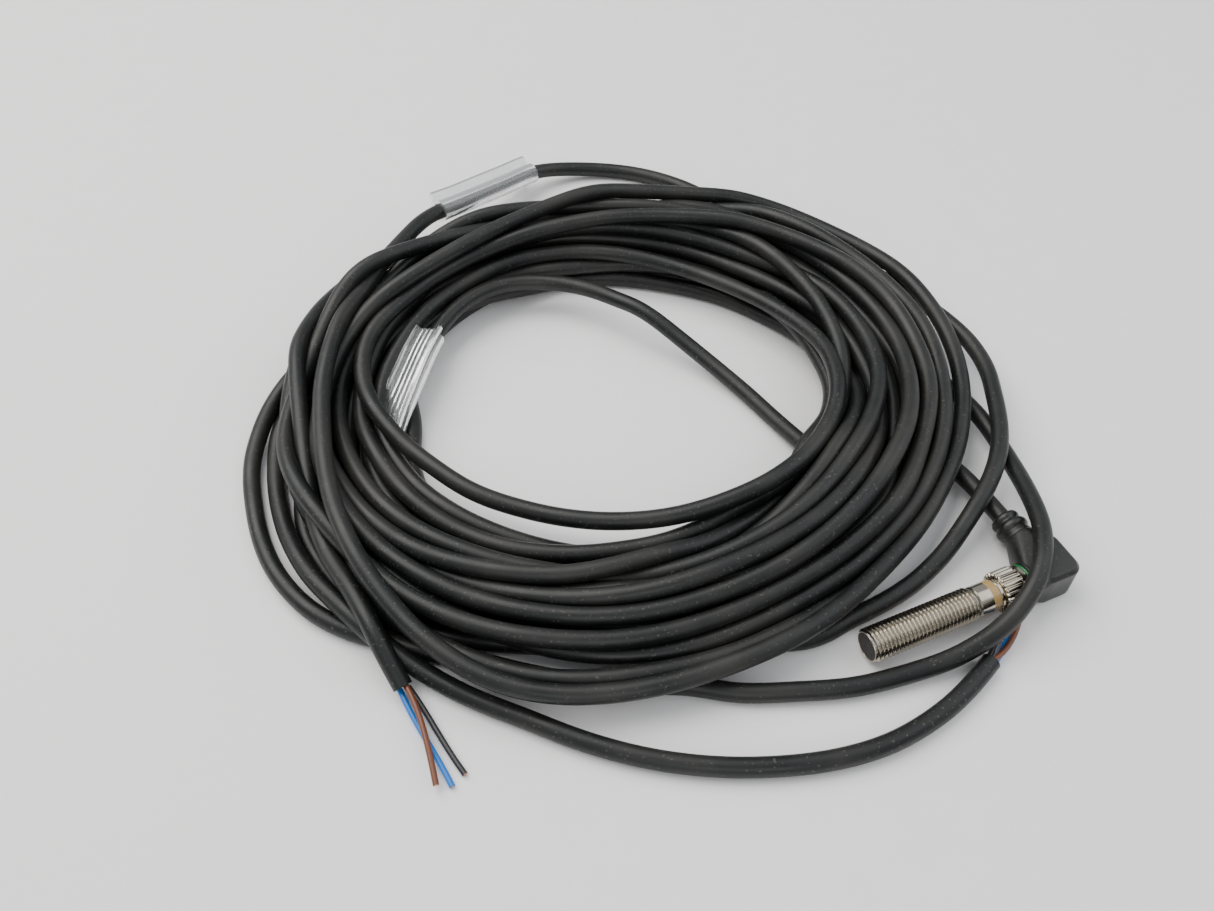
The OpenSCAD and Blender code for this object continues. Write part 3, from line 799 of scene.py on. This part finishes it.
class SENSOR_OT_connector(bpy.types.Operator):
    """Build the light ring and the threaded connector end of the sensor"""

    bl_idname = "sensor.connector"
    bl_label = "Build the connector"

    def execute(self, context):
        settings = context.scene.sensor_settings
        materials = palette(context)
        low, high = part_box("light_ring")
        axis_y, axis_z = (low[1] + high[1]) / 2, (low[2] + high[2]) / 2
        rim = (high[1] - low[1]) / 2
        width = high[0] - low[0]
        outline = []
        for share, drop in ((0, 0.0006), (0, 0.0002), (0.08, 0.00006), (0.3, 0), (0.7, 0),
                            (0.92, 0.00006), (1, 0.0002), (1, 0.0006)):
            outline.append((low[0] + width * share, rim - drop))
        mesh = turned("amber_ring", outline, axis_y, axis_z)
        ring = new_object("amber_ring", mesh, materials["light_ring"], "sensor")
        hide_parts("light_ring")

        low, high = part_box("connector_shell")
        crest = (high[1] - low[1]) / 2
        flange = low[0] + 0.0010

        def threaded(x, radius, turn):
            # a radius below zero is a plain turned surface, the others carry the thread
            if radius < 0:
                return -radius
            fade = min(1.0, (x - flange) / 0.0007, max(0.0, (high[0] - 0.0002 - x) / 0.0006))
            cut = thread_form((x - flange) / settings.pitch - turn / (2 * math.pi))
            return radius - 0.0005 * (1 - cut * max(0.0, fade))

        outline = [(low[0], -0.0033), (low[0], -0.0037), (low[0] + 0.00015, -0.00385),
                   (flange - 0.00015, -0.00385), (flange, -0.0037), (flange + 0.0001, -0.00345)]
        for k in range(64):
            outline.append((flange + 0.0003 + (high[0] - 0.0002 - flange - 0.0003) * k / 63, crest))
        outline += [(high[0], -0.0034), (high[0], -0.0033), (high[0] - 0.0035, -0.0033)]
        mesh = turned("connector_thread", outline, axis_y, axis_z, shape=threaded)
        shell = new_object("connector_thread", mesh, materials["nickel"], "sensor")
        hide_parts("connector_shell")
        return {"FINISHED"}


class SENSOR_OT_nuts(bpy.types.Operator):
    """Build both fluted coupling nuts"""

    bl_idname = "sensor.nuts"
    bl_label = "Build the nuts"

    def execute(self, context):
        settings = context.scene.sensor_settings
        materials = palette(context)
        for node, body in (("coupling_nut", "nut"), ("second_coupling_nut", "second_nut")):
            low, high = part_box(node)
            axis_y, axis_z = (low[1] + high[1]) / 2, (low[2] + high[2]) / 2
            outside = (high[2] - low[2]) / 2
            start, end = low[0], high[0]
            grip_end = start + 0.0053
            collar = 0.00435

            def fluted(x, radius, turn):
                # a radius below zero is a plain turned surface, the others carry the flutes
                if radius < 0:
                    return -radius
                wave = 0.5 + 0.5 * math.cos(settings.flutes * turn)
                shape = min(1.0, max(0.0, 0.5 + 1.3 * (wave - 0.42)))
                return radius - settings.flute_depth * (1 - shape)

            bore = -0.00402
            outline = [(start + 0.004, bore), (start + 0.0004, bore), (start, bore - 0.0003),
                       (start, outside - 0.0005), (start + 0.00012, outside - 0.0002),
                       (start + 0.0004, outside)]
            for k in range(1, 12):
                outline.append((start + 0.0004 + (grip_end - start - 0.0008) * k / 12, outside))
            outline += [(grip_end - 0.0003, outside), (grip_end - 0.0001, outside - 0.00018),
                        (grip_end, -collar - 0.00006), (grip_end + 0.0001, -collar),
                        (end - 0.0002, -collar), (end, -collar + 0.0002), (end, -0.0036),
                        (end - 0.001, -0.0036)]
            name = "fluted_nut" if body == "nut" else "second_fluted_nut"
            mesh = turned(name, outline, axis_y, axis_z, steps=288, shape=fluted)
            nut = new_object(name, mesh, materials["nickel"], body)
            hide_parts(node)
        return {"FINISHED"}


class SENSOR_OT_reliefs(bpy.types.Operator):
    """Build the green seals and the strain reliefs of both plugs"""

    bl_idname = "sensor.reliefs"
    bl_label = "Build the seals and strain reliefs"

    def execute(self, context):
        materials = palette(context)
        for prefix in ("", "second_"):
            low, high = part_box(prefix + "seal_ring")
            axis_y, axis_z = (low[1] + high[1]) / 2, (low[2] + high[2]) / 2
            rim = (high[1] - low[1]) / 2
            width = high[0] - low[0]
            outline = []
            for k in range(13):
                turn = math.pi * k / 12
                along = low[0] + width * (0.5 - 0.5 * math.cos(turn))
                outline.append((along, rim - 0.0004 * (1 - math.sin(turn))))
            mesh = turned(prefix + "green_ring", outline, axis_y, axis_z)
            seal = new_object(prefix + "green_ring", mesh, materials["green_seal"], "leads")
            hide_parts(prefix + "seal_ring")

            low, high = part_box(prefix + "strain_relief")
            middle_x, middle_z = (low[0] + high[0]) / 2, (low[2] + high[2]) / 2
            near = low[1]
            steps = ((0, 3.55), (0.4, 3.58), (0.9, 3.5), (1.1, 3.35), (1.5, 3.35), (1.75, 3.7), (2.1, 3.92),
                     (2.6, 3.99), (3.1, 3.94), (3.5, 3.75), (3.8, 3.4), (4.0, 3.25), (4.4, 3.2), (4.6, 3.35),
                     (4.9, 3.48), (5.4, 3.48), (5.7, 3.4), (6.0, 3.2), (6.15, 3.0), (6.2, 2.6), (6.2, 2.22))
            rows = []
            for along, radius in steps:
                ring = []
                for k in range(80):
                    turn = 2 * math.pi * k / 80
                    ring.append((middle_x + radius * MM * math.cos(turn), near + along * MM,
                                 middle_z + radius * MM * math.sin(turn)))
                rows.append(ring)
            mesh = mesh_grid(prefix + "moulded_relief", rows)
            smooth(mesh, 50)
            relief = new_object(prefix + "moulded_relief", mesh, materials["plug_black"],
                                "leads")
            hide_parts(prefix + "strain_relief")
        return {"FINISHED"}


class SENSOR_OT_finishes(bpy.types.Operator):
    """Give every part that keeps its designed shape its own surface"""

    bl_idname = "sensor.finishes"
    bl_label = "Finish the parts"

    def execute(self, context):
        materials = palette(context)
        for part in frame["record"]["subparts"]:
            node = frame["nodes"][part["node"]]
            if not node.data.materials:
                node.data.materials.append(None)
            for index in range(len(node.data.materials)):
                node.data.materials[index] = materials[part["material_slot"]]
        return {"FINISHED"}


class SENSOR_OT_stage(bpy.types.Operator):
    """Set the table, the soft lights and the camera"""

    bl_idname = "sensor.stage"
    bl_label = "Set the stage"

    def execute(self, context):
        settings = context.scene.stage_settings
        scene = context.scene
        mesh = mesh_grid("table", [[(-6, -6, 0), (6, -6, 0)], [(-6, 6, 0), (6, 6, 0)]], closed_rings=False)
        table = bpy.data.objects.new("table", mesh)
        scene.collection.objects.link(table)
        soft = bpy.data.node_groups["Moulded surface"]
        table.data.materials.append(moulded("table_top", soft, (0.94, 0.93, 0.925), 0.6, grain=0.0006,
                                            depth=0.08, cloud=0.02, dust=0.0))
        world = bpy.data.worlds.new("studio")
        world.use_nodes = True
        background = world.node_tree.nodes["Background"]
        background.inputs["Color"].default_value = (0.93, 0.96, 1.0, 1)
        background.inputs["Strength"].default_value = 0.5
        scene.world = world
        middle = Vector((-0.04, 0.06, 0))
        for name, place, size, power, colour in (
            ("main_light", (-0.35, 0.5, 0.8), 0.9, settings.key_power, (1.0, 0.98, 0.95)),
            ("fill_light", (0.6, -0.1, 0.7), 0.9, settings.fill_power, (0.95, 0.97, 1.0)),
            ("front_light", (-0.35, -0.75, 0.6), 0.5, settings.fill_power * 0.6, (1.0, 1.0, 1.0)),
        ):
            light = bpy.data.lights.new(name, "AREA")
            light.energy = power
            light.color = colour
            light.size = size
            lamp = bpy.data.objects.new(name, light)
            lamp.location = Vector(place)
            lamp.rotation_euler = (middle - Vector(place)).to_track_quat("-Z", "Y").to_euler()
            scene.collection.objects.link(lamp)
        camera = bpy.data.cameras.new("camera")
        camera.lens = settings.lens
        camera.sensor_width = 36.0
        camera.clip_start = 0.005
        viewer = bpy.data.objects.new("camera", camera)
        viewer.location = (-0.1297, -0.0981, 0.213)
        viewer.rotation_euler = (math.radians(41), 0, math.radians(-23.9))
        scene.collection.objects.link(viewer)
        scene.camera = viewer
        return {"FINISHED"}


class SENSOR_PT_panel(bpy.types.Panel):
    """Sizes and steps of the sensor"""

    bl_idname = "SENSOR_PT_panel"
    bl_label = "Proximity sensor"
    bl_space_type = "VIEW_3D"
    bl_region_type = "UI"
    bl_category = "Sensor"

    def draw(self, context):
        scene = context.scene
        for settings in (scene.lead_settings, scene.sensor_settings, scene.material_settings,
                         scene.stage_settings):
            box = self.layout.box()
            for name in settings.__annotations__:
                box.prop(settings, name)
        for step in STEPS:
            self.layout.operator(step.bl_idname)


PALETTE = {}


def palette(context):
    """The materials, made once."""
    if not PALETTE:
        PALETTE.update(make_materials(context.scene.material_settings.dust))
    return PALETTE


SETTINGS = {"lead_settings": LeadSettings, "sensor_settings": SensorSettings,
            "stage_settings": StageSettings, "material_settings": MaterialSettings}
STEPS = (SENSOR_OT_finishes, SENSOR_OT_barrel, SENSOR_OT_connector, SENSOR_OT_nuts,
         SENSOR_OT_reliefs, SENSOR_OT_leads, SENSOR_OT_stage)


def register():
    for kind in (*SETTINGS.values(), *STEPS, SENSOR_PT_panel):
        bpy.utils.register_class(kind)
    for name, kind in SETTINGS.items():
        setattr(bpy.types.Scene, name, PointerProperty(type=kind))


def unregister():
    for name in SETTINGS:
        delattr(bpy.types.Scene, name)
    for kind in reversed((*SETTINGS.values(), *STEPS, SENSOR_PT_panel)):
        bpy.utils.unregister_class(kind)


def main():
    register()
    bpy.ops.sensor.finishes()
    bpy.ops.sensor.barrel()
    bpy.ops.sensor.connector()
    bpy.ops.sensor.nuts()
    bpy.ops.sensor.reliefs()
    bpy.ops.sensor.leads()
    bpy.ops.sensor.stage()


if __name__ == "__main__":
    main()
